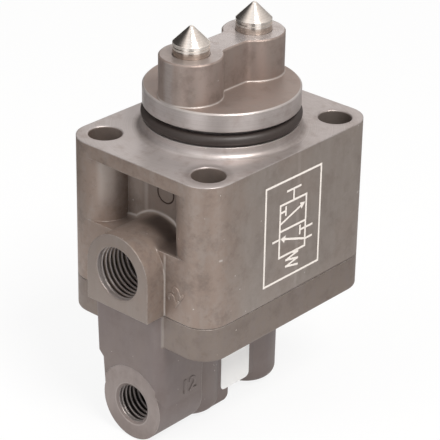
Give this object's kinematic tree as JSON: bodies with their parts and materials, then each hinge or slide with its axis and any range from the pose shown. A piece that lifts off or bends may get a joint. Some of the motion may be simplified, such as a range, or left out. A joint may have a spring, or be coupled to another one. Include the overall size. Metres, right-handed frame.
{
  "type": "pneumatic plunger valve",
  "caption": "Pneumatic valve with a flanged cast body, an O-ring spigot, pointed spring-return plungers and threaded air ports.",
  "frame": {"origin": "centre of the mounting flange's machined top face, on the axis of the spigot", "axes": "+Z out of the flange towards the plungers, -Y out of the front outlet port and the supply port, +X out of the face with the etched frame"},
  "size_m": [0.051, 0.0788, 0.1127],
  "materials": {
    "upper_casting": "fine cast, machined on top",
    "lower_casting": "fine cast",
    "gasket_sheet": "matt",
    "ring_rubber": "satin",
    "screw_steel": "zinc plated",
    "label_film": "matt",
    "plunger_steel": "turned bright",
    "seal_rubber": "satin",
    "sleeve_brass": "turned",
    "spool_aluminium": "turned",
    "seat_brass": "turned",
    "spring_steel": "bright wire"
  },
  "bodies": {
    "housing": {"upper_housing": "upper_casting", "lower_housing": "lower_casting", "joint_gasket": "gasket_sheet", "flange_o_ring": "ring_rubber", "joint_screws": "screw_steel", "blank_label": "label_film", "front_rod_seal": "seal_rubber", "front_sleeve": "sleeve_brass", "front_sleeve_seals": "seal_rubber", "front_return_spring": "spring_steel", "rear_rod_seal": "seal_rubber", "rear_sleeve": "sleeve_brass", "rear_sleeve_seals": "seal_rubber", "rear_return_spring": "spring_steel"},
    "front_train": {"front_plunger": "plunger_steel", "front_spool": "spool_aluminium", "front_spool_seals": "seal_rubber", "front_spring_seat": "seat_brass"},
    "rear_train": {"rear_plunger": "plunger_steel", "rear_spool": "spool_aluminium", "rear_spool_seals": "seal_rubber", "rear_spring_seat": "seat_brass"}
  },
  "joints": [
    {"name": "front_plunger_slide", "type": "slide", "parent": "housing", "child": "front_train", "axis": [0, 0, -1], "range_m": [0, 0.003], "stiffness_N_per_m": 3000, "springref_m": -0.01, "deforming": ["front_return_spring"]},
    {"name": "rear_plunger_slide", "type": "slide", "parent": "housing", "child": "rear_train", "axis": [0, 0, -1], "range_m": [0, 0.003], "stiffness_N_per_m": 3000, "springref_m": -0.01, "deforming": ["rear_return_spring"]}
  ]
}
